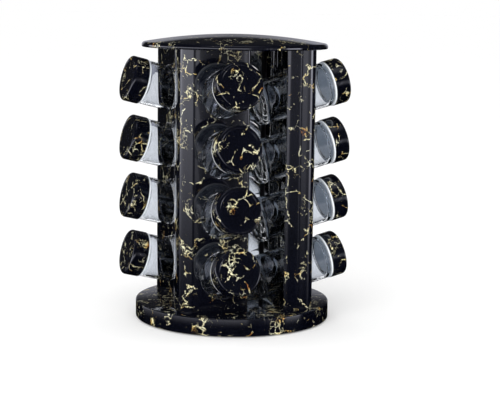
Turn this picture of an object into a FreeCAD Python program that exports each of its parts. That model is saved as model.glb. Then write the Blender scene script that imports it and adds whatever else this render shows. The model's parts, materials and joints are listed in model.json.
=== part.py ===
"""Rotating spice carousel: a turntable, a pinwheel tower of four bent panels and sixteen tilted jars.

Millimetres. +Z is up, Z = 0 is the table and the Z axis is the spin axis. The front column of jars
faces -Y. The right, back and left columns are the front one turned about Z by 90, 180 and 270 degrees.
A jar is drawn upright with its glass foot at Z = 0, and is then tilted and moved to its place.
"""
import FreeCAD, Part
import math
import os

V = FreeCAD.Vector
UP = V(0, 0, 1)
OUT_FOLDER = "parts"

# ---------------------------------------------------------------- the layout
COLUMNS = ("front", "right", "back", "left")
ROWS = 4                        # row 1 is the top one
JAR_TILT = 14.0                 # degrees that a jar's cap end is raised
ROW_GAP = 10.9                  # free height between two caps in a column
FIRST_ROW_RISE = 13.2           # base top to the lowest point of the bottom row's holes
TOP_ROW_DROP = 17.6             # highest point of the top row's holes to the lid
CENTRE_GAP = 18.4               # between the caps of two neighbouring columns, side on

# ---------------------------------------------------------------- a glass jar
JAR_DIAMETER = 42.0
JAR_LENGTH = 91.5               # foot of the glass to the top of the cap
GLASS_WALL = 2.4
GLASS_FOOT = 5.0                # thick bottom
FOOT_ROUND = 3.5
SHOULDER_ROUND = 3.0
INSIDE_ROUND = 3.0
NECK_STEP = 3.6                 # the neck's radius is this much smaller than the jar's
NECK_WALL = 2.2
GLASS_JOINT = 0.05              # gap between the glass neck and the shaker fitment

# ---------------------------------------------------------------- the shaker fitment on the neck
COLLAR_HEIGHT = 1.8             # the pale ring that shows under the cap
COLLAR_PROUD = 0.4              # past the glass
SLEEVE_WALL = 1.6
SHAKER_PLATE = 1.4
SHAKER_HOLE = 3.2
SHAKER_HOLES = 6
SHAKER_HOLE_RING = 8.0          # radius of the ring of holes
PLUG_DEPTH = 4.0
PLUG_WALL = 1.3

# ---------------------------------------------------------------- the screw cap
CAP_HEIGHT = 15.0
CAP_PROUD = 0.8                 # past the glass
CAP_TOP = 1.8
CAP_ROUND = 2.4
CAP_RIM_ROUND = 0.5
CAP_FIT = 0.3                   # all round between the cap and the fitment

# ---------------------------------------------------------------- a bent panel
SHEET = 0.8
HOLE_CLEARANCE = 0.5            # round a jar
EDGE_LAND = 4.0                 # hole to the folded edge beside the gap
FACE_MARGIN = 5.2               # jar's side to the neighbouring panel's face plane
EDGE_BEND = 3.0                 # outside radius of the fold beside the gap
EDGE_RETURN = 9.0               # depth of that fold
CORNER_LAND = 7.0               # hole to the start of the large round corner
CORNER_BEND = 11.0              # outside radius of the large corner
STRIP_STRAIGHT = 5.0            # straight part after the corner
STRIP_CURVE = 60.0              # outside radius of the part that leans inwards
STRIP_LEAN = 14.0               # degrees
HEM_BEND = 1.2                  # outside radius of the hem
HEM_RETURN = 3.0
SEAT_DEPTH = 3.0                # panel into the base and into the lid
SEAT_CLEARANCE = 0.25

# ---------------------------------------------------------------- tie bolts, which also stop the jars
BOLT_DIAMETER = 5.0
BOLT_SETBACK = 1.6              # bolt centre in front of the spin axis, seen from its column
BOLT_HEAD = 9.0
BOLT_HEAD_HEIGHT = 3.2
BOLT_CLEARANCE = 0.2
BOLT_THREAD_FIT = 0.05
BOLT_IN_LID = 7.0
STOP_GAP = 0.3                  # jar foot to the bolt at rest

# ---------------------------------------------------------------- the lid
LID_MARGIN = 2.2                # past the tower's corners
LID_BAND = 2.0                  # height of the widest line above the flat underside
LID_EDGE_ROUND = 1.2
LID_SHOULDER = 3.0              # radius of the shoulder from the widest line into the dome
LID_DOME = 10.8                 # rise of shoulder and dome above the widest line

# ---------------------------------------------------------------- the base disc
BASE_MARGIN = 7.2               # past the tower's corners
BASE_HEIGHT = 16.5
TABLE_GAP = 1.0
BASE_EDGE_ROUND = 1.2

# ---------------------------------------------------------------- the turntable
PLATE_DIAMETER = 128.0
PLATE = 2.5
PLATE_LIFT = 1.5                # plate above the table
FOOT_DIAMETER = 14.0
FOOT_SINK = 0.5                 # feet into the plate
FOOT_RING = 54.0                # radius of the ring of feet
FEET = 4
RECESS_GAP = 2.0                # plate's rim to the base
BALL = 5.0
BALLS = 14
BALL_RING = 49.0                # radius of the ring of balls
BALL_FIT = 0.1
GROOVE_DEPTH = 0.8
CAGE = 1.6
CAGE_WIDTH = 10.0
CAGE_FIT = 0.2
STUD_DIAMETER = 12.0
STUD_FIT = 0.06                 # radial running fit of the stud in the base
BEARING_WEB = 4.2               # base thickness round the stud
CLIP = 1.2
CLIP_BITE = 1.0                 # clip into the stud
CLIP_WIDTH = 4.5
CLIP_FIT = 0.2
CLIP_SLOT = 5.0
STUD_TOP = 1.6                  # stud above the clip
WELL_GAP = 2.5                  # clip's rim to the wall of its well

# ---------------------------------------------------------------- worked out from the sizes above
TILT = math.radians(JAR_TILT)
JAR_R = JAR_DIAMETER / 2
CAP_R = JAR_R + CAP_PROUD
NECK_R = JAR_R - NECK_STEP
SLEEVE_R = NECK_R + GLASS_JOINT + SLEEVE_WALL
COLLAR_R = JAR_R + COLLAR_PROUD
HOLE_R = JAR_R + HOLE_CLEARANCE
HOLE_HALF_HEIGHT = HOLE_R / math.cos(TILT)
ROW_PITCH = 2 * CAP_R / math.cos(TILT) + ROW_GAP
COLUMN_OFFSET = CAP_R + CENTRE_GAP / 2
FACE = COLUMN_OFFSET + JAR_R + FACE_MARGIN

CAP_RIM_Z = JAR_LENGTH - CAP_HEIGHT
SHOULDER_Z = CAP_RIM_Z - COLLAR_HEIGHT
NECK_TOP_Z = JAR_LENGTH - CAP_TOP - CAP_FIT - SHAKER_PLATE - GLASS_JOINT

PLATE_TOP = PLATE_LIFT + PLATE
BALL_Z = PLATE_TOP + BALL / 2 + BALL_FIT - GROOVE_DEPTH
RECESS_Z = BALL_Z + BALL / 2 + BALL_FIT - GROOVE_DEPTH
WELL_Z = RECESS_Z + BEARING_WEB
BASE_TOP = TABLE_GAP + BASE_HEIGHT
ROW_BOTTOM = BASE_TOP + FIRST_ROW_RISE + HOLE_HALF_HEIGHT
LID_Z = ROW_BOTTOM + (ROWS - 1) * ROW_PITCH + HOLE_HALF_HEIGHT + TOP_ROW_DROP
LID_TOP = LID_Z + LID_BAND + LID_DOME
HEAD_WELL_Z = RECESS_Z + BOLT_HEAD_HEIGHT + BOLT_CLEARANCE

EDGE_X = -COLUMN_OFFSET + HOLE_R + EDGE_LAND
CORNER_X = -COLUMN_OFFSET - HOLE_R - CORNER_LAND
TOWER_R = math.hypot(CORNER_X, FACE - CORNER_BEND) + CORNER_BEND
BASE_R = TOWER_R + BASE_MARGIN
LID_R = TOWER_R + LID_MARGIN

# The jar's foot meets the bolt at the upper part of its rounded heel.
HEEL_REACH = FOOT_ROUND - FOOT_ROUND * math.cos(TILT) + (JAR_R - FOOT_ROUND) * math.sin(TILT)
FOOT_Y = -BOLT_SETBACK - BOLT_DIAMETER / 2 - STOP_GAP - HEEL_REACH
INSERTION = (FACE + FOOT_Y) / math.cos(TILT)


# ---------------------------------------------------------------- helpers
def rounded_wire(corners):
    """A closed wire in the XZ plane through (x, z, radius) corners, each rounded by its radius."""
    count = len(corners)
    ends = []
    edges = []
    for i in range(count):
        x, z, radius = corners[i]
        here = V(x, 0, z)
        before = V(corners[i - 1][0], 0, corners[i - 1][1]) - here
        after = V(corners[(i + 1) % count][0], 0, corners[(i + 1) % count][1]) - here
        before.normalize()
        after.normalize()
        if radius <= 0:
            ends.append((here, here))
            continue
        half = before.getAngle(after) / 2
        reach = radius / math.tan(half)
        start = here + before * reach
        stop = here + after * reach
        inward = before + after
        inward.normalize()
        middle = here + inward * (radius / math.sin(half) - radius)
        edges.append(Part.Arc(start, middle, stop).toShape())
        ends.append((start, stop))
    for i in range(count):
        start = ends[i - 1][1]
        stop = ends[i][0]
        if start.distanceToPoint(stop) > 1e-6:
            edges.append(Part.LineSegment(start, stop).toShape())
    return Part.Wire(Part.__sortEdges__(edges))


def turned(corners):
    """The solid turned about Z from a rounded outline of (radius, height, rounding) corners."""
    return Part.Face(rounded_wire(corners)).revolve(V(0, 0, 0), UP, 360)


def rod(radius, bottom, top, x=0.0, y=0.0):
    return Part.makeCylinder(radius, top - bottom, V(x, y, bottom))


def quarter(shape, index):
    """The shape turned about Z to the column with this index."""
    copy = shape.copy()
    copy.rotate(V(0, 0, 0), UP, 90 * index)
    return copy


def four_turns(shape):
    return [quarter(shape, i) for i in range(len(COLUMNS))]


def save(name, shape):
    shape.exportStep(os.path.join(OUT_FOLDER, name + ".step"))


# ---------------------------------------------------------------- bent sheet
def sheet_steps():
    """The panel's outside face, seen from above, as a walk: (straight length) or (radius, turn)."""
    flat = (EDGE_X - EDGE_BEND) - CORNER_X
    return [
        (EDGE_RETURN - EDGE_BEND,),
        (EDGE_BEND, 90.0),
        (flat,),
        (CORNER_BEND, 90.0),
        (STRIP_STRAIGHT,),
        (STRIP_CURVE, STRIP_LEAN),
        (HEM_BEND, 180.0),
        (HEM_RETURN,),
    ]


def walk_edges(offset, stretch):
    """The walk's edges moved to its inner side by offset, with both ends longer by stretch."""
    heading = -math.pi / 2
    at = V(EDGE_X, -FACE + EDGE_RETURN, 0)
    edges = []
    steps = sheet_steps()
    for number, step in enumerate(steps):
        along = V(math.cos(heading), math.sin(heading), 0)
        inner = V(math.sin(heading), -math.cos(heading), 0)
        if len(step) == 1:
            start = at + inner * offset
            if number == 0:
                start = start - along * stretch
            at = at + along * step[0]
            stop = at + inner * offset
            if number == len(steps) - 1:
                stop = stop + along * stretch
            edges.append(Part.LineSegment(start, stop).toShape())
            continue
        radius, turn = step
        centre = at + inner * radius
        points = []
        for share in (0.0, 0.5, 1.0):
            angle = heading - math.radians(turn) * share
            points.append(centre - V(math.sin(angle), -math.cos(angle), 0) * (radius - offset))
        edges.append(Part.Arc(*points).toShape())
        heading = heading - math.radians(turn)
        at = centre - V(math.sin(heading), -math.cos(heading), 0) * radius
    return edges


def sheet_solid(bottom, top, grow=0.0):
    """The bent sheet between two heights, thicker by grow on every side."""
    outside = walk_edges(-grow, grow)
    inside = walk_edges(SHEET + grow, grow)
    first = Part.LineSegment(outside[0].Vertexes[0].Point, inside[0].Vertexes[0].Point).toShape()
    last = Part.LineSegment(outside[-1].Vertexes[-1].Point, inside[-1].Vertexes[-1].Point).toShape()
    wire = Part.Wire(Part.__sortEdges__(outside + inside + [first, last]))
    face = Part.Face(wire)
    face.translate(V(0, 0, bottom))
    return face.extrude(V(0, 0, top - bottom))


def jar_place(row):
    """Where a front-column jar's upright drawing goes. Row 0 is the top one."""
    height = ROW_BOTTOM + (ROWS - 1 - row) * ROW_PITCH
    turn = FreeCAD.Rotation(V(1, 0, 0), 90 - JAR_TILT)
    hole = V(-COLUMN_OFFSET, -FACE, height)
    foot = hole - turn.multVec(UP) * INSERTION
    return FreeCAD.Placement(foot, turn)


def placed(shape, row):
    copy = shape.copy()
    copy.Placement = jar_place(row)
    return copy


def panel():
    """One panel for the front: bent sheet with a tilted round hole for each jar."""
    sheet = sheet_solid(BASE_TOP - SEAT_DEPTH, LID_Z + SEAT_DEPTH)
    holes = [placed(rod(HOLE_R, 0, JAR_LENGTH), row) for row in range(ROWS)]
    return sheet.cut(holes)


# ---------------------------------------------------------------- a jar's three pieces
def glass():
    inner_r = JAR_R - GLASS_WALL
    mouth_r = NECK_R - NECK_WALL
    inner_top = SHOULDER_Z - GLASS_WALL
    outer = turned([
        (0, 0, 0), (JAR_R, 0, FOOT_ROUND), (JAR_R, SHOULDER_Z, SHOULDER_ROUND),
        (NECK_R, SHOULDER_Z, 0), (NECK_R, NECK_TOP_Z, 0.6), (0, NECK_TOP_Z, 0),
    ])
    hollow = turned([
        (0, GLASS_FOOT, 0), (inner_r, GLASS_FOOT, INSIDE_ROUND), (inner_r, inner_top, SHOULDER_ROUND),
        (mouth_r, inner_top, 0), (mouth_r, NECK_TOP_Z + 1, 0), (0, NECK_TOP_Z + 1, 0),
    ])
    return outer.cut(hollow)


def shaker():
    """Plastic fitment: collar on the shoulder, threaded sleeve, plate with holes, plug in the neck."""
    bore = NECK_R + GLASS_JOINT
    low = SHOULDER_Z + GLASS_JOINT
    collar_top = CAP_RIM_Z - CAP_FIT / 2
    plate_low = NECK_TOP_Z + GLASS_JOINT
    plate_top = plate_low + SHAKER_PLATE
    plug_out = NECK_R - NECK_WALL - GLASS_JOINT
    plug_in = plug_out - PLUG_WALL
    body = turned([
        (0, plate_low, 0), (plug_in, plate_low, 0), (plug_in, NECK_TOP_Z - PLUG_DEPTH, 0),
        (plug_out, NECK_TOP_Z - PLUG_DEPTH, 0), (plug_out, plate_low, 0), (bore, plate_low, 0),
        (bore, low, 0), (COLLAR_R, low, 0.5), (COLLAR_R, collar_top, 0.5),
        (SLEEVE_R, collar_top, 0), (SLEEVE_R, plate_top, 0.5), (0, plate_top, 0),
    ])
    drill = rod(SHAKER_HOLE / 2, plate_low - 1, plate_top + 1)
    drills = [drill]
    for i in range(SHAKER_HOLES):
        angle = 2 * math.pi * i / SHAKER_HOLES
        hole = drill.copy()
        hole.translate(V(SHAKER_HOLE_RING * math.cos(angle), SHAKER_HOLE_RING * math.sin(angle), 0))
        drills.append(hole)
    return body.cut(drills)


def cap():
    low = CAP_RIM_Z + CAP_FIT / 2
    inner_r = SLEEVE_R + CAP_FIT
    ceiling = JAR_LENGTH - CAP_TOP
    return turned([
        (0, ceiling, 0), (inner_r, ceiling, 0.8), (inner_r, low, 0), (CAP_R, low, CAP_RIM_ROUND),
        (CAP_R, JAR_LENGTH, CAP_ROUND), (0, JAR_LENGTH, 0),
    ])


# ---------------------------------------------------------------- base and lid
def panel_seats(bottom, top):
    return four_turns(sheet_solid(bottom, top, SEAT_CLEARANCE))


def bolt_drills(radius, bottom, top):
    return four_turns(rod(radius, bottom, top, -COLUMN_OFFSET, -BOLT_SETBACK))


def ball_groove():
    return Part.makeTorus(BALL_RING, BALL / 2 + BALL_FIT, V(0, 0, BALL_Z))


def base_disc():
    recess_r = PLATE_DIAMETER / 2 + RECESS_GAP
    stud_hole_r = STUD_DIAMETER / 2 + STUD_FIT
    well_r = STUD_DIAMETER / 2 - CLIP_BITE + CLIP_WIDTH + WELL_GAP
    disc = turned([
        (stud_hole_r, RECESS_Z, 0), (recess_r, RECESS_Z, 0), (recess_r, TABLE_GAP, 0),
        (BASE_R, TABLE_GAP, BASE_EDGE_ROUND), (BASE_R, BASE_TOP, BASE_EDGE_ROUND),
        (well_r, BASE_TOP, 0), (well_r, WELL_Z, 0), (stud_hole_r, WELL_Z, 0),
    ])
    cuts = [ball_groove()]
    cuts += panel_seats(BASE_TOP - SEAT_DEPTH - SEAT_CLEARANCE, BASE_TOP + 1)
    cuts += bolt_drills(BOLT_DIAMETER / 2 + BOLT_CLEARANCE, RECESS_Z - 1, BASE_TOP + 1)
    cuts += bolt_drills(BOLT_HEAD / 2 + BOLT_CLEARANCE, RECESS_Z - 1, HEAD_WELL_Z)
    return disc.cut(cuts)


def lid():
    """A disc with a low dome over a round shoulder and a small lower round, grooved below for the panels."""
    widest_z = LID_Z + LID_BAND
    round_x = LID_R - LID_EDGE_ROUND
    round_z = LID_Z + LID_EDGE_ROUND
    half = LID_EDGE_ROUND * math.sqrt(0.5)
    # the dome's sphere touches the shoulder from outside along one line
    shoulder_x = LID_R - LID_SHOULDER
    rise = shoulder_x ** 2 + LID_DOME ** 2 - LID_SHOULDER ** 2
    sphere_r = rise / (2 * (LID_DOME - LID_SHOULDER))
    sphere_z = LID_TOP - sphere_r
    meet = math.atan2(widest_z - sphere_z, shoulder_x)
    above = (meet + math.pi / 2) / 2
    on_shoulder = V(
        shoulder_x + LID_SHOULDER * math.cos(meet / 2), 0, widest_z + LID_SHOULDER * math.sin(meet / 2)
    )
    meeting = V(sphere_r * math.cos(meet), 0, sphere_z + sphere_r * math.sin(meet))
    on_dome = V(sphere_r * math.cos(above), 0, sphere_z + sphere_r * math.sin(above))
    edges = [
        Part.LineSegment(V(0, 0, LID_TOP), V(0, 0, LID_Z)).toShape(),
        Part.LineSegment(V(0, 0, LID_Z), V(round_x, 0, LID_Z)).toShape(),
        Part.Arc(V(round_x, 0, LID_Z), V(round_x + half, 0, round_z - half), V(LID_R, 0, round_z)).toShape(),
        Part.LineSegment(V(LID_R, 0, round_z), V(LID_R, 0, widest_z)).toShape(),
        Part.Arc(V(LID_R, 0, widest_z), on_shoulder, meeting).toShape(),
        Part.Arc(meeting, on_dome, V(0, 0, LID_TOP)).toShape(),
    ]
    face = Part.Face(Part.Wire(Part.__sortEdges__(edges)))
    disc = face.revolve(V(0, 0, 0), UP, 360)
    cuts = panel_seats(LID_Z - 1, LID_Z + SEAT_DEPTH + SEAT_CLEARANCE)
    cuts += bolt_drills(BOLT_DIAMETER / 2 + BOLT_THREAD_FIT, LID_Z - 1, LID_Z + BOLT_IN_LID + BOLT_CLEARANCE)
    return disc.cut(cuts)


def tie_bolt():
    """A long bolt from under the base, past the jars' feet, into the lid. Hex head below."""
    shank = rod(BOLT_DIAMETER / 2, HEAD_WELL_Z, LID_Z + BOLT_IN_LID)
    corner_r = BOLT_HEAD / 2
    points = []
    for i in range(7):
        angle = math.radians(60 * i)
        points.append(V(corner_r * math.cos(angle), corner_r * math.sin(angle), HEAD_WELL_Z - BOLT_HEAD_HEIGHT))
    head = Part.Face(Part.makePolygon(points)).extrude(V(0, 0, BOLT_HEAD_HEIGHT))
    bolt = head.fuse(shank)
    bolt.translate(V(-COLUMN_OFFSET, -BOLT_SETBACK, 0))
    return bolt


# ---------------------------------------------------------------- turntable
def ring_of(shape, count, radius, start=0.0):
    copies = []
    for i in range(count):
        angle = math.radians(start) + 2 * math.pi * i / count
        copy = shape.copy()
        copy.translate(V(radius * math.cos(angle), radius * math.sin(angle), 0))
        copies.append(copy)
    return copies


def turntable_plate():
    """The standing plate: ball groove on top, stud in the middle, shallow pockets for the feet."""
    stud_r = STUD_DIAMETER / 2
    groove_r = stud_r - CLIP_BITE
    clip_low = WELL_Z + CLIP_FIT
    clip_high = clip_low + CLIP + CLIP_FIT / 2
    stud_top = clip_high + STUD_TOP
    plate = turned([
        (0, PLATE_LIFT, 0), (PLATE_DIAMETER / 2, PLATE_LIFT, 0.6), (PLATE_DIAMETER / 2, PLATE_TOP, 0.6),
        (stud_r, PLATE_TOP, 0.5), (stud_r, clip_low, 0), (groove_r, clip_low, 0),
        (groove_r, clip_high, 0), (stud_r, clip_high, 0), (stud_r, stud_top, 0.6), (0, stud_top, 0),
    ])
    pocket = rod(FOOT_DIAMETER / 2, PLATE_LIFT - 1, PLATE_LIFT + FOOT_SINK)
    return plate.cut([ball_groove()] + ring_of(pocket, FEET, FOOT_RING, 45))


def rubber_feet():
    pad = turned([
        (0, 0, 0), (FOOT_DIAMETER / 2 - 0.1, 0, 0.5),
        (FOOT_DIAMETER / 2 - 0.1, PLATE_LIFT + FOOT_SINK, 0), (0, PLATE_LIFT + FOOT_SINK, 0),
    ])
    return Part.makeCompound(ring_of(pad, FEET, FOOT_RING, 45))


def bearing_balls():
    ball = Part.makeSphere(BALL / 2, V(0, 0, BALL_Z))
    return Part.makeCompound(ring_of(ball, BALLS, BALL_RING))


def ball_cage():
    low = BALL_Z - CAGE / 2
    ring = rod(BALL_RING + CAGE_WIDTH / 2, low, low + CAGE)
    ring = ring.cut(rod(BALL_RING - CAGE_WIDTH / 2, low - 1, low + CAGE + 1))
    pocket = rod(BALL / 2 + CAGE_FIT, low - 1, low + CAGE + 1)
    return ring.cut(ring_of(pocket, BALLS, BALL_RING))


def stud_clip():
    """An open spring ring in the stud's groove, which keeps the base on the turntable."""
    inner_r = STUD_DIAMETER / 2 - CLIP_BITE + CLIP_FIT / 4
    low = WELL_Z + CLIP_FIT + CLIP_FIT / 4
    ring = rod(inner_r + CLIP_WIDTH, low, low + CLIP)
    ring = ring.cut(rod(inner_r, low - 1, low + CLIP + 1))
    reach = inner_r + CLIP_WIDTH + 1
    gap = Part.makeBox(reach, CLIP_SLOT, CLIP + 2, V(0, -CLIP_SLOT / 2, low - 1))
    return ring.cut(gap)


def build():
    os.makedirs(OUT_FOLDER, exist_ok=True)
    save("rubber_feet", rubber_feet())
    save("turntable_plate", turntable_plate())
    save("ball_cage", ball_cage())
    save("bearing_balls", bearing_balls())
    save("stud_clip", stud_clip())
    save("base_disc", base_disc())
    save("lid", lid())
    save("tie_bolts", Part.makeCompound(four_turns(tie_bolt())))
    for index, side in enumerate(COLUMNS):
        save(side + "_panel", quarter(panel(), index))
    pieces = {"jar": glass(), "shaker": shaker(), "cap": cap()}
    for index, side in enumerate(COLUMNS):
        for row in range(ROWS):
            for piece, shape in pieces.items():
                name = "%s_%d_%s" % (side, row + 1, piece)
                save(name, quarter(placed(shape, row), index))
    print("width %.1f  height %.1f" % (2 * BASE_R, LID_TOP))
    print("pitch %.2f  face %.2f  insertion %.2f  foot y %.2f" % (ROW_PITCH, FACE, INSERTION, FOOT_Y))


build()
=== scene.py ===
"""Looks of the rotating spice carousel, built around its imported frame. Metres, +Z up, table at Z = 0.

Every curved piece that shows is a surface worked out with numpy and takes its place from the frame.
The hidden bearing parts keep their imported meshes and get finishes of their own.
"""
import json
import math

import bmesh
import bpy
import numpy as np
from mathutils import Matrix, Vector


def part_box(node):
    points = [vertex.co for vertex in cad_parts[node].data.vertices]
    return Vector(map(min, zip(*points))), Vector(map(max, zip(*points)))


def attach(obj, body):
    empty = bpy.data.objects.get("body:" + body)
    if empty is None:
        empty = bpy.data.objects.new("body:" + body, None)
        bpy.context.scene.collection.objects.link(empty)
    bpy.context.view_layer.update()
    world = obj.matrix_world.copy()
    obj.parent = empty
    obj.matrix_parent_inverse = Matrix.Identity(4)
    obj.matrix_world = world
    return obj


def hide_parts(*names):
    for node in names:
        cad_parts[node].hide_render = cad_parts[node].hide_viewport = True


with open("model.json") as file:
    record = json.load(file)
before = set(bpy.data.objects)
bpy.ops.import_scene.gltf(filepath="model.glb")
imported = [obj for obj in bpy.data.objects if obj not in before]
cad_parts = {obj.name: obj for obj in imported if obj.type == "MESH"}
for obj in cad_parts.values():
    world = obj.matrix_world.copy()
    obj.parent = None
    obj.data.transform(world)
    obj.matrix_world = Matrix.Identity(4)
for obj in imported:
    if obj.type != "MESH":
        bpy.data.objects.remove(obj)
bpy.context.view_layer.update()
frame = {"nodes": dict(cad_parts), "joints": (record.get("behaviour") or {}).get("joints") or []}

MM = 0.001
SIDES = ("front", "right", "back", "left")
ROWS = (1, 2, 3, 4)
TURNS = 96                      # facets round a jar or cap
DISC_TURNS = 192                # facets round the base and the lid
SMOOTH_UNDER = 32.0             # degrees between faces that still read as one smooth surface
COPY_SMOOTH_UNDER = 30.0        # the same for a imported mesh

# Jar, fitment and cap, measured along the jar from the glass foot
JAR_R = 21.0 * MM
GLASS_WALL = 2.4 * MM
GLASS_FOOT = 5.0 * MM
NECK_R = 17.4 * MM
NECK_WALL = 2.2 * MM
CAP_R = 21.8 * MM
CAP_HEIGHT = 15.0 * MM
CAP_TOP = 1.8 * MM
CAP_DISH = 0.15 * MM            # the face lies this much below its rim
COLLAR = 1.8 * MM
PLATE = 1.4 * MM
FIT = 0.3 * MM
GLASS_JOINT = 0.05 * MM         # gap between the neck and the fitment
SLEEVE_WALL = 1.6 * MM

# Bent panel
SHEET = 0.8 * MM
HOLE_R = JAR_R + 0.5 * MM
LIP_R = 1.2 * MM                # outside radius of the rolled lip round a hole
EDGE_LAND = 4.0 * MM
EDGE_BEND = 3.0 * MM
EDGE_RETURN = 9.0 * MM
CORNER_LAND = 7.0 * MM
CORNER_BEND = 11.0 * MM
STRIP_STRAIGHT = 5.0 * MM
STRIP_CURVE = 60.0 * MM
STRIP_LEAN = 14.0
HEM_BEND = 1.2 * MM
HEM_RETURN = 3.0 * MM

# Base: height over the balls' tops, stud hole, well round the stud and the floor between them
BALL_GROOVE = 0.7 * MM
STUD_HOLE_R = 6.06 * MM
WELL_R = 12.0 * MM
WELL_FLOOR = 4.2 * MM
PLATE_GAP = 2.0 * MM

# Lid
LID_BAND = 2.0 * MM
LID_ROUND = 1.2 * MM
LID_SHOULDER = 3.0 * MM


# ------------------------------------------------------------------ places read from the frame
def node_points(name):
    """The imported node's vertices as an (n, 3) array."""
    mesh = frame["nodes"][name].data
    flat = np.empty(3 * len(mesh.vertices), np.float32)
    mesh.vertices.foreach_get("co", flat)
    return flat.reshape(-1, 3).astype(float)


def jar_seat(tag):
    """Where an upright jar goes: a 3x3 turn whose columns are (sideways, across, along), and the foot."""
    child = "jar_" + tag
    axis = next(joint["axis"] for joint in frame["joints"] if joint["child"] == child)
    along = np.array(axis, float)
    along /= np.linalg.norm(along)
    sideways = np.cross(along, (0, 0, 1.0))
    sideways /= np.linalg.norm(sideways)
    across = np.cross(along, sideways)
    turn = np.stack([sideways, across, along], axis=1)
    local = node_points(tag + "_jar") @ turn
    middle = (local.min(axis=0) + local.max(axis=0)) / 2
    middle[2] = local[:, 2].min()
    return turn, turn @ middle


def quarter_turn(points, index):
    """Points turned about Z by 90 degrees times index."""
    angle = math.radians(90 * index)
    c, s = math.cos(angle), math.sin(angle)
    return points @ np.array([[c, s, 0], [-s, c, 0], [0, 0, 1.0]])


# ------------------------------------------------------------------ surfaces
def rounded_outline(corners, steps=8):
    """A polyline through (x, y, radius) corners, each inner corner replaced by an arc of its radius."""
    out = []
    pts = [np.array(c[:2], float) for c in corners]
    for i, corner in enumerate(corners):
        radius = corner[2] if len(corner) > 2 else 0.0
        if radius <= 0 or i in (0, len(corners) - 1):
            out.append(pts[i])
            continue
        back = pts[i - 1] - pts[i]
        ahead = pts[i + 1] - pts[i]
        back /= np.linalg.norm(back)
        ahead /= np.linalg.norm(ahead)
        half = math.acos(np.clip(back @ ahead, -1, 1)) / 2
        bisector = (back + ahead) / np.linalg.norm(back + ahead)
        centre = pts[i] + bisector * radius / math.sin(half)
        start = pts[i] + back * radius / math.tan(half) - centre
        stop = pts[i] + ahead * radius / math.tan(half) - centre
        sweep = math.pi - 2 * half
        for t in np.linspace(0, 1, steps + 1):
            spoke = math.sin((1 - t) * sweep) * start + math.sin(t * sweep) * stop
            out.append(centre + spoke / math.sin(sweep))
    return np.array(out)


def grid_quads(rows, columns, wrap=False):
    """Quads of a rows x columns grid of points numbered row by row."""
    steps = columns if wrap else columns - 1
    i, j = np.meshgrid(np.arange(rows - 1), np.arange(steps), indexing="ij")
    k = (j + 1) % columns
    here, above = i * columns, (i + 1) * columns
    quads = np.stack([here + j, here + k, above + k, above + j], axis=-1)
    return quads.reshape(-1, 4)


def lathe(outline, turns=TURNS):
    """The outline (radius, height) turned about Z: x = r cos a, y = r sin a, z = h."""
    angle = 2 * math.pi * np.arange(turns) / turns
    r, h = outline[:, :1], outline[:, 1:]
    ring = np.stack([r * np.cos(angle), r * np.sin(angle), h + 0 * angle], axis=-1)
    return ring.reshape(-1, 3), grid_quads(len(outline), turns, wrap=True)


def smooth(mesh, angle):
    """Shades a mesh smooth, with sharp edges where faces meet at more than the angle in degrees."""
    mesh.polygons.foreach_set("use_smooth", np.ones(len(mesh.polygons), bool))
    mesh.set_sharp_from_angle(angle=math.radians(angle))


def closed_mesh(name, points, faces):
    """A mesh from points and quads: coincident points merged, faces outward."""
    mesh = bpy.data.meshes.new(name)
    mesh.from_pydata(points.tolist(), [], faces.tolist())
    work = bmesh.new()
    work.from_mesh(mesh)
    bmesh.ops.remove_doubles(work, verts=work.verts, dist=1e-6)
    bmesh.ops.dissolve_degenerate(work, edges=work.edges, dist=1e-7)
    bmesh.ops.recalc_face_normals(work, faces=work.faces)
    work.to_mesh(mesh)
    work.free()
    smooth(mesh, SMOOTH_UNDER)
    return mesh


def show(node, mesh, material, body):
    """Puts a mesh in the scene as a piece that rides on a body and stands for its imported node."""
    mesh.materials.append(material)
    piece = bpy.data.objects.new(node + "_look", mesh)
    bpy.context.scene.collection.objects.link(piece)
    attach(piece, body)
    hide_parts(node)


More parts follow.
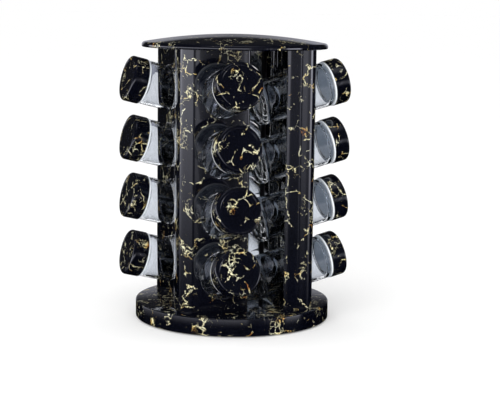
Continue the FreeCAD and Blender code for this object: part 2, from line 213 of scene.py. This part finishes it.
# ------------------------------------------------------------------ materials
class Nodes:
    """Short calls for building one material's nodes."""

    def __init__(self, name):
        self.material = bpy.data.materials.new(name)
        self.material.use_nodes = True
        self.tree = self.material.node_tree
        self.tree.nodes.clear()
        self.out = self.tree.nodes.new("ShaderNodeOutputMaterial")
        self.shader = self.tree.nodes.new("ShaderNodeBsdfPrincipled")
        self.link(self.shader.outputs[0], self.out.inputs["Surface"])
        self.place = self.tree.nodes.new("ShaderNodeTexCoord").outputs["Object"]

    def link(self, a, b):
        self.tree.links.new(a, b)

    def feed(self, socket, value):
        if isinstance(value, bpy.types.NodeSocket):
            self.link(value, socket)
        else:
            socket.default_value = value

    def set(self, **values):
        """Sets the shader's sockets, named with _ for spaces."""
        for key, value in values.items():
            self.feed(self.shader.inputs[key.replace("_", " ")], value)

    def noise(self, scale, detail, offset=None, output="Fac"):
        """Cloud noise; an offset moves it so that two noises of one scale differ."""
        node = self.tree.nodes.new("ShaderNodeTexNoise")
        node.inputs["Scale"].default_value = scale
        node.inputs["Detail"].default_value = detail
        where = self.place if offset is None else self.vector("ADD", self.place, offset)
        self.link(where, node.inputs["Vector"])
        return node.outputs[output]

    def voronoi(self, scale, feature, where, output="Distance"):
        """A cell pattern at a place."""
        node = self.tree.nodes.new("ShaderNodeTexVoronoi")
        node.feature = feature
        node.inputs["Scale"].default_value = scale
        self.link(where, node.inputs["Vector"])
        return node.outputs[output]

    def maths(self, operation, a, b):
        node = self.tree.nodes.new("ShaderNodeMath")
        node.operation = operation
        self.feed(node.inputs[0], a)
        self.feed(node.inputs[1], b)
        return node.outputs[0]

    def vector(self, operation, a, b):
        node = self.tree.nodes.new("ShaderNodeVectorMath")
        node.operation = operation
        self.feed(node.inputs[0], a)
        self.feed(node.inputs[1], b)
        return node.outputs[0]

    def nudge(self, place, colour, reach):
        """A place moved by a colour taken as a direction, at most reach / 2 along each axis."""
        centred = self.vector("SUBTRACT", colour, (0.5, 0.5, 0.5))
        return self.vector("ADD", place, self.vector("MULTIPLY", centred, (reach, reach, reach)))

    def stretch(self, value, low, high, to_low=0.0, to_high=1.0):
        """A value between low and high carried over to between to_low and to_high."""
        node = self.tree.nodes.new("ShaderNodeMapRange")
        self.feed(node.inputs["Value"], value)
        ends = {"From Min": low, "From Max": high, "To Min": to_low, "To Max": to_high}
        for key, end in ends.items():
            self.feed(node.inputs[key], end)
        return node.outputs["Result"]

    def ramp(self, value, stops):
        """A colour read from (position, colour) stops."""
        node = self.tree.nodes.new("ShaderNodeValToRGB")
        self.feed(node.inputs[0], value)
        band = node.color_ramp
        while len(band.elements) < len(stops):
            band.elements.new(1.0)
        for element, (at, colour) in zip(band.elements, stops):
            element.position = at
            element.color = colour + (1.0,)
        return node.outputs["Color"]

    def mix(self, share, a, b):
        """A colour between a and b."""
        node = self.tree.nodes.new("ShaderNodeMix")
        node.data_type = "RGBA"
        self.feed(node.inputs[0], share)
        self.feed(node.inputs[6], a)
        self.feed(node.inputs[7], b)
        return node.outputs[2]

    def bump(self, height, strength, distance):
        node = self.tree.nodes.new("ShaderNodeBump")
        node.inputs["Strength"].default_value = strength
        node.inputs["Distance"].default_value = distance
        self.link(height, node.inputs["Height"])
        return node.outputs["Normal"]


GOLD_TONES = (
    (0.30, (0.50, 0.19, 0.035)), (0.37, (0.95, 0.68, 0.22)),
    (0.45, (1.0, 0.90, 0.50)), (0.65, (1.0, 0.97, 0.70)),
)
NAVY_TONES = ((0.3, (0.0012, 0.0016, 0.0042)), (0.7, (0.0026, 0.0031, 0.0072)))


def gold_print(n):
    """Share of gold at a point: broken straight-sided cracks, finer splinters near them, and flecks.

    Each is the thin band along the walls of a cell pattern. The place is nudged first, smoothly and
    then by a different step in every small cell, so that the lines bend and then snap.
    """
    wander = n.nudge(n.place, n.noise(60.0, 2.0, output="Color"), 12.0 * MM)
    wander = n.nudge(wander, n.voronoi(680.0, "F1", n.place, "Color"), 1.2 * MM)
    clusters = n.noise(42.0, 2.0)
    breaks = n.noise(88.0, 2.0, offset=(3.1, 1.7, 5.3))
    swell = n.stretch(n.noise(320.0, 2.0, offset=(7.7, 2.9, 1.3)), 0.36, 0.64, 0.25, 1.0)

    wide = n.voronoi(58.0, "DISTANCE_TO_EDGE", wander)
    wide_reach = n.maths("MULTIPLY", n.stretch(breaks, 0.51, 0.57, 0.0, 0.019), swell)
    cracks = n.maths("LESS_THAN", wide, wide_reach)

    fine = n.voronoi(165.0, "DISTANCE_TO_EDGE", wander)
    near = n.stretch(clusters, 0.55, 0.68, 0.0, 0.070)
    fine_reach = n.maths("MULTIPLY", n.maths("MULTIPLY", near, n.stretch(breaks, 0.44, 0.56)), swell)
    splinters = n.maths("LESS_THAN", fine, fine_reach)

    fleck_cells = n.voronoi(300.0, "F1", wander, "Color")
    fleck_size = n.stretch(fleck_cells, 0.70, 1.0, 0.03, 0.22)
    fleck_reach = n.maths("MULTIPLY", fleck_size, n.stretch(clusters, 0.36, 0.56, 0.3, 1.0))
    flecks = n.maths("LESS_THAN", n.voronoi(300.0, "F1", wander), fleck_reach)
    return n.maths("MAXIMUM", n.maths("MAXIMUM", cracks, splinters), flecks)


def printed_black(name, gloss, grain):
    """Near-black navy gloss lacquer over a gold crackle print; grain sets the fine unevenness."""
    n = Nodes(name)
    gold = gold_print(n)
    tone = n.ramp(n.noise(95.0, 3.0, offset=(11.0, 4.0, 8.0)), GOLD_TONES)
    ground = n.ramp(n.noise(18.0, 4.0), NAVY_TONES)
    n.set(Base_Color=n.mix(gold, ground, tone))
    n.set(Roughness=n.stretch(gold, 0.0, 1.0, gloss, 0.34))
    n.set(Metallic=n.maths("MULTIPLY", gold, 0.12))
    n.set(Coat_Weight=1.0)
    n.set(Coat_Roughness=0.03)
    relief = n.maths("ADD", n.maths("MULTIPLY", gold, 0.5), n.noise(grain, 2.0))
    n.set(Normal=n.bump(relief, 0.05, 0.00006))
    return n.material


def clear_glass():
    """Pressed jar glass: a faint blue-grey body that is smooth, with slow waviness in the wall."""
    n = Nodes("jar glass")
    n.set(Base_Color=n.mix(n.noise(40.0, 2.0), (0.80, 0.825, 0.87, 1), (0.84, 0.865, 0.90, 1)))
    n.set(Transmission_Weight=1.0)
    n.set(IOR=1.22)
    n.set(Coat_Weight=1.0)
    n.set(Coat_Roughness=0.02)
    n.set(Roughness=n.stretch(n.noise(300.0, 3.0), 0.35, 0.8, 0.0, 0.02))
    n.set(Normal=n.bump(n.noise(45.0, 1.0), 0.06, 0.0005))
    return n.material


def plain_finish(name, dark, light, scale, rough, metal=0.0, bump=0.0, **more):
    """A plain material whose colour and roughness wander gently with noise; more names further sockets."""
    n = Nodes(name)
    cloud = n.noise(scale, 4.0)
    n.set(Base_Color=n.mix(n.stretch(cloud, 0.3, 0.7), dark + (1.0,), light + (1.0,)))
    n.set(Roughness=n.stretch(n.noise(scale * 3, 3.0, offset=(2, 3, 5)), 0.3, 0.7, rough[0], rough[1]))
    n.set(Metallic=metal)
    n.set(**more)
    if bump:
        n.set(Normal=n.bump(n.noise(scale * 12, 2.0), 0.3, bump))
    return n.material


LACQUER = printed_black("printed panel lacquer", 0.09, 260.0)
MOULDING = printed_black("printed moulding gloss", 0.11, 180.0)
CAP_GLOSS = printed_black("printed cap gloss", 0.13, 320.0)
GLASS = clear_glass()
# The fitments' emission is painted light: a faint blue-white glow that brightens their white ring where
# little light reaches it through the glass.
COLLAR_WHITE_PAINTED_GLOW = plain_finish(
    "fitment white with painted glow", (0.78, 0.80, 0.82), (0.9, 0.92, 0.94), 220.0, (0.18, 0.32), bump=0.00003,
    Emission_Color=(0.75, 0.86, 1.0, 1), Emission_Strength=0.16)
BLACK_ROD = plain_finish(
    "blackened bolt steel", (0.008, 0.008, 0.01), (0.02, 0.02, 0.024), 160.0, (0.35, 0.55), 0.3, 0.00002)
ZINC = plain_finish("zinc plate", (0.42, 0.44, 0.45), (0.66, 0.67, 0.66), 90.0, (0.28, 0.45), 1.0, 0.00002)
SPRING = plain_finish(
    "spring steel", (0.16, 0.16, 0.17), (0.3, 0.3, 0.31), 200.0, (0.3, 0.45), 1.0, 0.00001)
BALL_STEEL = plain_finish(
    "polished ball steel", (0.72, 0.72, 0.74), (0.82, 0.82, 0.84), 300.0, (0.03, 0.09), 1.0)
CAGE_NYLON = plain_finish(
    "cage nylon", (0.62, 0.61, 0.55), (0.74, 0.73, 0.68), 150.0, (0.4, 0.55), bump=0.00003)
RUBBER = plain_finish(
    "foot rubber", (0.012, 0.012, 0.013), (0.03, 0.03, 0.032), 400.0, (0.7, 0.9), bump=0.00008)


# ------------------------------------------------------------------ jars
TAGS = ["%s_%d" % (side, row) for side in SIDES for row in ROWS]
SEATS = {tag: jar_seat(tag) for tag in TAGS}
first_turn, first_foot = SEATS["front_1"]
CAP_TOP_Z = ((node_points("front_1_cap") - first_foot) @ first_turn)[:, 2].max()
CAP_RIM_Z = CAP_TOP_Z - CAP_HEIGHT + FIT / 2
SHOULDER_Z = CAP_TOP_Z - CAP_HEIGHT - COLLAR
NECK_TOP_Z = CAP_TOP_Z - CAP_TOP - FIT - PLATE - GLASS_JOINT
SLEEVE_R = NECK_R + GLASS_JOINT + SLEEVE_WALL


def glass_outline():
    """Jar wall from the middle of the foot, up outside, over the lip and down inside to the floor."""
    inner_r = JAR_R - GLASS_WALL
    mouth_r = NECK_R - NECK_WALL
    inner_top = SHOULDER_Z - GLASS_WALL
    return rounded_outline([
        (0, 1.1 * MM), (11 * MM, 0.9 * MM, 6 * MM), (16 * MM, 0.0, 1.5 * MM), (JAR_R, 0.0, 3.5 * MM),
        (JAR_R, SHOULDER_Z, 3.0 * MM), (NECK_R, SHOULDER_Z, 0.4 * MM), (NECK_R, NECK_TOP_Z, 0.8 * MM),
        (mouth_r, NECK_TOP_Z, 0.8 * MM), (mouth_r, inner_top, 1.2 * MM), (inner_r, inner_top, 3.0 * MM),
        (inner_r, GLASS_FOOT, 4.5 * MM), (8 * MM, GLASS_FOOT + 0.4 * MM, 10 * MM), (0, GLASS_FOOT + 0.6 * MM),
    ])


def cap_outline():
    """Cap from the middle of its top, over the rounded edge, down the skirt and up inside to the middle."""
    inner_r = SLEEVE_R + FIT
    face_z = CAP_TOP_Z - CAP_DISH
    return rounded_outline([
        (0, face_z), (18.0 * MM, face_z, 0.3 * MM), (18.5 * MM, CAP_TOP_Z, 0.3 * MM),
        (CAP_R, CAP_TOP_Z, 2.4 * MM), (CAP_R, CAP_RIM_Z, 0.5 * MM), (inner_r, CAP_RIM_Z, 0.4 * MM),
        (inner_r, CAP_TOP_Z - CAP_TOP, 0.8 * MM), (0, CAP_TOP_Z - CAP_TOP),
    ])


def seated(points, tag):
    """Upright jar points moved to a jar's place in the rack."""
    turn, foot = SEATS[tag]
    return points @ turn.T + foot


def make_jars():
    """Glass jars and caps, each turned once from its outline and set in every seat."""
    for part, outline, material, slot in (
        ("jar", glass_outline(), GLASS, "jar_glass"),
        ("cap", cap_outline(), CAP_GLOSS, "printed_cap"),
    ):
        points, faces = lathe(outline)
        for tag in TAGS:
            node = tag + "_" + part
            mesh = closed_mesh(node + "_mesh", seated(points, tag), faces)
            show(node, mesh, material, part + "_" + tag)


# ------------------------------------------------------------------ panels
FLAT_CELLS = 12                 # grid cells along each side of a hole's rectangle
tilt = math.asin(first_turn[2, 2])
hole_x = -abs(first_foot[0])
panel_low, panel_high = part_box("front_panel")
face_y = panel_low[1]


def panel_outline():
    """Outer and inner line of the front panel's bent sheet seen from above, and where its flat starts.

    A walk from the folded edge round to the hem: (length, steps) goes straight, and (outer radius,
    degrees, steps) turns. The inner line runs one sheet thickness nearer the centre of the bend.
    """
    edge_x = hole_x + HOLE_R + EDGE_LAND
    flat = EDGE_LAND + 2 * HOLE_R + CORNER_LAND - EDGE_BEND
    walk = [
        (EDGE_RETURN - EDGE_BEND, 3), (EDGE_BEND, 90.0, 10), (flat, FLAT_CELLS), (CORNER_BEND, 90.0, 28),
        (STRIP_STRAIGHT, 2), (STRIP_CURVE, STRIP_LEAN, 8), (HEM_BEND, 180.0, 12), (HEM_RETURN, 2),
    ]
    heading = -math.pi / 2
    at = np.array([edge_x, face_y + EDGE_RETURN])
    outer, inner = [at], [at + SHEET * np.array([math.sin(heading), -math.cos(heading)])]
    flat_start = 0
    for step in walk:
        count = step[-1]
        if step[0] == flat:
            flat_start = len(outer) - 1
        side = np.array([math.sin(heading), -math.cos(heading)])
        along = np.array([math.cos(heading), math.sin(heading)])
        if len(step) == 2:
            for t in np.linspace(0, 1, count + 1)[1:]:
                outer.append(at + along * step[0] * t)
                inner.append(outer[-1] + side * SHEET)
            at = outer[-1]
            continue
        centre = at + side * step[0]
        for t in np.linspace(0, 1, count + 1)[1:]:
            angle = heading - math.radians(step[1]) * t
            out = -np.array([math.sin(angle), -math.cos(angle)])
            outer.append(centre + out * step[0])
            inner.append(centre + out * (step[0] - SHEET))
        heading -= math.radians(step[1])
        at = outer[-1]
    return np.array(outer), np.array(inner), flat_start


def hole_cell(x_levels, z_levels, hole_z, lip):
    """Points between a hole and its rectangle: rings from the lip's edge outward, for one sheet face.

    Round the rectangle the points are its grid points. Each faces the point in the same direction from
    the hole's middle on an ellipse, which is the jar's tilted cylinder cut by the sheet. lip gives the
    gap to the hole's wall and the depth of each lip ring, and deeper rings follow the jar's tilt.
    """
    low, high = z_levels[0], z_levels[-1]
    rim = [(x, low) for x in x_levels[:-1]] + [(x_levels[-1], z) for z in z_levels[:-1]]
    rim += [(x, high) for x in x_levels[:0:-1]] + [(x_levels[0], z) for z in z_levels[:0:-1]]
    rim = np.array(rim)
    angle = np.arctan2(rim[:, 1] - hole_z, rim[:, 0] - hole_x)
    half_width, half_height = HOLE_R, HOLE_R / math.cos(tilt)
    rings = []
    for gap, depth in lip:
        scale = 1 / np.hypot(np.cos(angle) / (half_width + gap), np.sin(angle) / (half_height + gap))
        x = hole_x + scale * np.cos(angle)
        z = hole_z + scale * np.sin(angle) - depth * math.tan(tilt)
        rings.append(np.stack([x, np.full_like(x, face_y + depth), z], axis=-1))
    last = rings[-1]
    flat_rim = np.stack([rim[:, 0], last[:, 1], rim[:, 1]], axis=-1)
    for share in (0.25, 0.55, 1.0):
        rings.append(last * (1 - share) + flat_rim * share)
    return np.array(rings)


def panel_rows():
    """Hole heights, bottom to top, where each jar's axis meets the panel's face plane."""
    heights = []
    for row in reversed(ROWS):
        turn, foot = SEATS["front_%d" % row]
        along = turn[:, 2]
        heights.append(foot[2] + along[2] * (face_y - foot[1]) / along[1])
    return np.array(heights)


def panel_surface():
    """The front panel as patches: bent grids beside the flat, a ring cell round each hole, rims."""
    outer, inner, start = panel_outline()
    stop = start + FLAT_CELLS
    holes = panel_rows()
    pitch = holes[1] - holes[0]
    bands = [np.linspace(h - pitch / 2, h + pitch / 2, FLAT_CELLS + 1) for h in holes]
    z_all = np.unique(np.round(np.concatenate([[panel_low[2]]] + bands + [[panel_high[2]]]), 8))
    points, faces = [], []

    def add(block, wrap=False):
        rows, columns = block.shape[:2]
        faces.append(grid_quads(rows, columns, wrap) + sum(map(len, points)))
        points.append(block.reshape(-1, 3))

    def lifted(line, heights):
        block = np.empty((len(line), len(heights), 3))
        block[:, :, :2] = line[:, None, :]
        block[:, :, 2] = heights
        return block

    quarter = np.radians(np.linspace(90, 0, 7))
    lip_out = [(LIP_R * (1 - math.sin(a)), LIP_R * (1 - math.cos(a))) for a in quarter]
    bend_in = LIP_R - SHEET
    lip_in = [(LIP_R - bend_in * math.sin(a), LIP_R - bend_in * math.cos(a)) for a in quarter]
    for past in (0.15 * MM, 0.3 * MM):      # two flat rings beside the lip keep its shading off the flat
        lip_out.append((LIP_R + past, 0.0))
        lip_in.append((LIP_R + past, SHEET))
    for line, lip in ((outer, lip_out), (inner, lip_in)):
        add(lifted(line[:start + 1], z_all))
        add(lifted(line[stop:], z_all))
        x_levels = line[start:stop + 1, 0]
        add(lifted(line[start:stop + 1], [z_all[0], bands[0][0]]))
        add(lifted(line[start:stop + 1], [bands[-1][-1], z_all[-1]]))
        for hole_z, band in zip(holes, bands):
            add(hole_cell(x_levels, band, hole_z, lip), wrap=True)
    for hole_z, band in zip(holes, bands):
        out_edge = hole_cell(outer[start:stop + 1, 0], band, hole_z, lip_out)[0]
        in_edge = hole_cell(inner[start:stop + 1, 0], band, hole_z, lip_in)[0]
        add(np.stack([out_edge, in_edge]), wrap=True)
    for z in (z_all[0], z_all[-1]):
        rim = np.stack([lifted(outer, [z])[:, 0], lifted(inner, [z])[:, 0]])
        add(rim)
    for end in (0, -1):
        add(np.stack([lifted(outer[end:][:1], z_all)[0], lifted(inner[end:][:1], z_all)[0]]))
    return np.concatenate(points), np.concatenate(faces)


def make_panels():
    """The front panel's surface, turned a quarter further for each of the other sides."""
    points, faces = panel_surface()
    for index, side in enumerate(SIDES):
        mesh = closed_mesh(side + "_panel_mesh", quarter_turn(points, index), faces)
        show(side + "_panel", mesh, LACQUER, "carousel")


# ------------------------------------------------------------------ base and lid
def make_base():
    """The base disc turned from its outline: rounded edges, recess below for the turntable, stud well."""
    low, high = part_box("base_disc")
    radius = (high[0] - low[0]) / 2
    plate_low, plate_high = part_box("turntable_plate")
    recess_r = (plate_high[0] - plate_low[0]) / 2 + PLATE_GAP
    recess_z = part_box("bearing_balls")[1][2] - BALL_GROOVE
    well_z = recess_z + WELL_FLOOR
    outline = rounded_outline([
        (STUD_HOLE_R, recess_z), (recess_r, recess_z, 1 * MM), (recess_r, low[2], 0.8 * MM),
        (radius, low[2], 1.2 * MM), (radius, high[2], 1.2 * MM), (WELL_R, high[2], 0.6 * MM),
        (WELL_R, well_z, 0.4 * MM), (STUD_HOLE_R, well_z), (STUD_HOLE_R, recess_z),
    ])
    mesh = closed_mesh("base_disc_mesh", *lathe(outline, DISC_TURNS))
    show("base_disc", mesh, MOULDING, "carousel")


def make_lid():
    """The lid turned from its outline: flat below, small round, widest line, shoulder arc, dome arc.

    The dome is a sphere that meets the shoulder's arc at one tangent, at the angle meet.
    """
    low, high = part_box("lid")
    radius = (high[0] - low[0]) / 2
    widest_z = low[2] + LID_BAND
    dome = high[2] - widest_z
    shoulder_x = radius - LID_SHOULDER
    sphere = (shoulder_x ** 2 + dome ** 2 - LID_SHOULDER ** 2) / (2 * (dome - LID_SHOULDER))
    sphere_z = high[2] - sphere
    meet = math.atan2(widest_z - sphere_z, shoulder_x)
    below = np.radians(np.linspace(-90, 0, 7))
    turn = np.linspace(0, meet, 14)
    rise = np.linspace(meet, math.pi / 2, 40)[1:]

    def arc(angles, reach, middle_x, middle_z):
        return np.stack([middle_x + reach * np.cos(angles), middle_z + reach * np.sin(angles)], axis=1)

    lower = arc(below, LID_ROUND, radius - LID_ROUND, low[2] + LID_ROUND)
    shoulder = arc(turn, LID_SHOULDER, shoulder_x, widest_z)
    top = arc(rise, sphere, 0.0, sphere_z)
    top[-1, 0] = 0
    outline = np.concatenate([[[0, low[2]]], lower, shoulder, top])
    mesh = closed_mesh("lid_mesh", *lathe(outline, DISC_TURNS))
    show("lid", mesh, MOULDING, "carousel")


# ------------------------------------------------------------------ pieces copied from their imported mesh
def show_copy(node, material, body):
    """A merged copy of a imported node, smooth between its sharp edges, with a finish of its own."""
    mesh = frame["nodes"][node].data.copy()
    mesh.name = node + "_mesh"
    mesh.materials.clear()
    work = bmesh.new()
    work.from_mesh(mesh)
    bmesh.ops.remove_doubles(work, verts=work.verts, dist=2e-6)
    bmesh.ops.dissolve_degenerate(work, edges=work.edges, dist=1e-7)
    work.to_mesh(mesh)
    work.free()
    smooth(mesh, COPY_SMOOTH_UNDER)
    show(node, mesh, material, body)


make_jars()
make_panels()
make_base()
make_lid()
for tag in TAGS:
    show_copy(tag + "_shaker", COLLAR_WHITE_PAINTED_GLOW, "jar_" + tag)
show_copy("tie_bolts", BLACK_ROD, "carousel")
show_copy("turntable_plate", ZINC, "stand")
show_copy("stud_clip", SPRING, "stand")
show_copy("rubber_feet", RUBBER, "stand")
show_copy("bearing_balls", BALL_STEEL, "ball_ring")
show_copy("ball_cage", CAGE_NYLON, "ball_ring")


# ------------------------------------------------------------------ floor, light and camera
CAMERA_AZIMUTH = -21.0
CAMERA_DISTANCE = 1294.7 * MM   # level distance from the spin axis
CAMERA_HEIGHT = 304.1 * MM
CAMERA_DOWN = 8.369             # degrees
CAMERA_RIGHT = 0.724            # degrees that it looks to the right of the axis
CAMERA_ROLL = 0.818
CAMERA_LENS = 97.43             # on a sensor 36 mm wide

FLOOR_SIZE = 60.0
LAMP_AIM = 0.14                 # height that the lamps face
BACKDROP_GLOW = 0.015
GLOSS_FADE = (-13.8, 0.0)       # degrees of elevation over which the mirrored walls fade out below
FADE_FLOOR = 0.005
GLASS_FACES = 4.5               # more glass faces than this in a row look into the dark studio

# azimuth from, to, edge; elevation from, to, edge (degrees; azimuth 0 is the camera's side); brightness
LIGHT_WALLS = (
    (-130, 19, 3, -40, 5, 6, 1.45),
    (-130, 40.45, 0.3, -40, 5, 6, 0.22),
    (38.6, 40.45, 0.3, -40, 5, 6, 0.95),
    (42.4, 86, 0.3, -40, 5, 6, 0.48),
    (42.4, 46, 0.3, -40, 5, 6, 0.50),
    (66, 88, 3, -40, 5, 6, 3.0),
    (-179, -158, 10, -3, 11.5, 2, 0.42),
    (158, 179, 10, -3, 11.5, 2, 0.42),
    (-60, 60, 30, 55, 85, 12, 0.5),
)


def make_floor():
    """A wide pale table that lacquer doesn't mirror, with a faint glow that meets the backdrop."""
    bpy.ops.mesh.primitive_plane_add(size=FLOOR_SIZE, location=(0, 0, 0))
    floor = bpy.context.object
    floor.name = "floor"
    n = Nodes("pale floor")
    n.set(Base_Color=n.mix(n.noise(3.0, 3.0), (0.86, 0.86, 0.86, 1), (0.88, 0.88, 0.88, 1)))
    n.set(Roughness=0.8)
    n.set(Specular_IOR_Level=0.0)
    n.set(Emission_Color=(1, 1, 1, 1), Emission_Strength=0.13)
    floor.data.materials.append(n.material)
    floor.visible_glossy = False


def make_world():
    """White surroundings for the eye and for soft light; a dark studio for what the lacquer mirrors.

    The mirrored studio is brightness by direction: walls of light left and right, a dim backdrop behind
    and a panel overhead, each a soft-edged window in azimuth times one in elevation.
    """
    world = bpy.data.worlds.new("studio")
    bpy.context.scene.world = world
    world.use_nodes = True
    tree = world.node_tree
    tree.nodes.clear()

    def maths(operation, *values):
        node = tree.nodes.new("ShaderNodeMath")
        node.operation = operation
        for socket, value in zip(node.inputs, values):
            if isinstance(value, bpy.types.NodeSocket):
                tree.links.new(value, socket)
            else:
                socket.default_value = value
        return node.outputs[0]

    def step_up(value, start, stop):
        node = tree.nodes.new("ShaderNodeMapRange")
        node.interpolation_type = "SMOOTHSTEP"
        tree.links.new(value, node.inputs["Value"])
        node.inputs["From Min"].default_value = start
        node.inputs["From Max"].default_value = stop
        return node.outputs["Result"]

    def window(value, low, high, edge):
        up = step_up(value, low - edge, low + edge)
        down = step_up(value, high - edge, high + edge)
        return maths("SUBTRACT", up, down)

    # direction, turned so that azimuth 0 is towards the camera and plus is to its right
    place = tree.nodes.new("ShaderNodeTexCoord").outputs["Generated"]
    split = tree.nodes.new("ShaderNodeSeparateXYZ")
    tree.links.new(place, split.inputs[0])
    x, y, z = split.outputs
    turn = math.radians(CAMERA_AZIMUTH)
    towards = maths("SUBTRACT", maths("MULTIPLY", x, math.sin(turn)), maths("MULTIPLY", y, math.cos(turn)))
    right = maths("ADD", maths("MULTIPLY", x, math.cos(turn)), maths("MULTIPLY", y, math.sin(turn)))
    azimuth = maths("MULTIPLY", maths("ARCTAN2", right, towards), 180 / math.pi)
    level = maths("MULTIPLY", maths("ARCSINE", z), 180 / math.pi)

    glow = BACKDROP_GLOW
    for low, high, edge, floor_level, top, soft, strength in LIGHT_WALLS:
        share = maths("MULTIPLY", window(azimuth, low, high, edge), window(level, floor_level, top, soft))
        glow = maths("ADD", glow, maths("MULTIPLY", share, strength))
    fade = maths("ADD", maths("MULTIPLY", step_up(level, *GLOSS_FADE), 1 - FADE_FLOOR), FADE_FLOOR)
    glow = maths("MULTIPLY", glow, fade)

    out = tree.nodes.new("ShaderNodeOutputWorld")
    path = tree.nodes.new("ShaderNodeLightPath")
    white = tree.nodes.new("ShaderNodeBackground")
    white.inputs["Color"].default_value = (1, 1, 1, 1)
    white.inputs["Strength"].default_value = 1.0
    dark = tree.nodes.new("ShaderNodeBackground")
    dark.inputs["Color"].default_value = (0.87, 0.88, 1.0, 1)
    tree.links.new(glow, dark.inputs["Strength"])
    mix = tree.nodes.new("ShaderNodeMixShader")
    through_jars = maths("GREATER_THAN", path.outputs["Transmission Depth"], GLASS_FACES)
    tree.links.new(maths("MAXIMUM", path.outputs["Is Glossy Ray"], through_jars), mix.inputs["Fac"])
    tree.links.new(white.outputs[0], mix.inputs[1])
    tree.links.new(dark.outputs[0], mix.inputs[2])
    tree.links.new(mix.outputs[0], out.inputs["Surface"])


def softbox(name, azimuth, elevation, distance, width, height, watts):
    """An area light facing the tower. Azimuth turns from -Y towards +X, as the camera's does."""
    light = bpy.data.lights.new(name, "AREA")
    light.shape = "RECTANGLE"
    light.size, light.size_y = width, height
    light.energy = watts
    lamp = bpy.data.objects.new(name, light)
    a, e = math.radians(azimuth), math.radians(elevation)
    back = np.array([math.sin(a) * math.cos(e), -math.cos(a) * math.cos(e), math.sin(e)])
    lamp.location = back * distance + np.array([0, 0, LAMP_AIM])
    lamp.rotation_euler = Vector(back).to_track_quat("Z", "Y").to_euler()
    lamp.visible_camera = False
    lamp.visible_transmission = False
    lamp.visible_glossy = False
    bpy.context.scene.collection.objects.link(lamp)


def make_camera():
    """The camera, level with the lid's top and a little above, on the tower's left front side."""
    camera = bpy.data.objects.new("camera", bpy.data.cameras.new("camera"))
    camera.data.sensor_width = 36.0
    camera.data.lens = CAMERA_LENS
    a = math.radians(CAMERA_AZIMUTH)
    camera.location = (CAMERA_DISTANCE * math.sin(a), -CAMERA_DISTANCE * math.cos(a), CAMERA_HEIGHT)
    heading = Matrix.Rotation(a - math.radians(CAMERA_RIGHT), 3, "Z")
    nod = Matrix.Rotation(math.radians(90 - CAMERA_DOWN), 3, "X")
    roll = Matrix.Rotation(math.radians(CAMERA_ROLL), 3, "Z")
    camera.rotation_euler = (heading @ nod @ roll).to_euler()
    camera.data.clip_start = 0.05
    camera.data.clip_end = 50
    bpy.context.scene.collection.objects.link(camera)
    bpy.context.scene.camera = camera


make_floor()
make_world()
softbox("top softbox", CAMERA_AZIMUTH - 15, 62, 1.6, 1.5, 1.5, 2)
softbox("front softbox", CAMERA_AZIMUTH - 18, 24, 1.7, 1.4, 1.2, 12)
make_camera()
bpy.context.scene.view_settings.view_transform = "Standard"
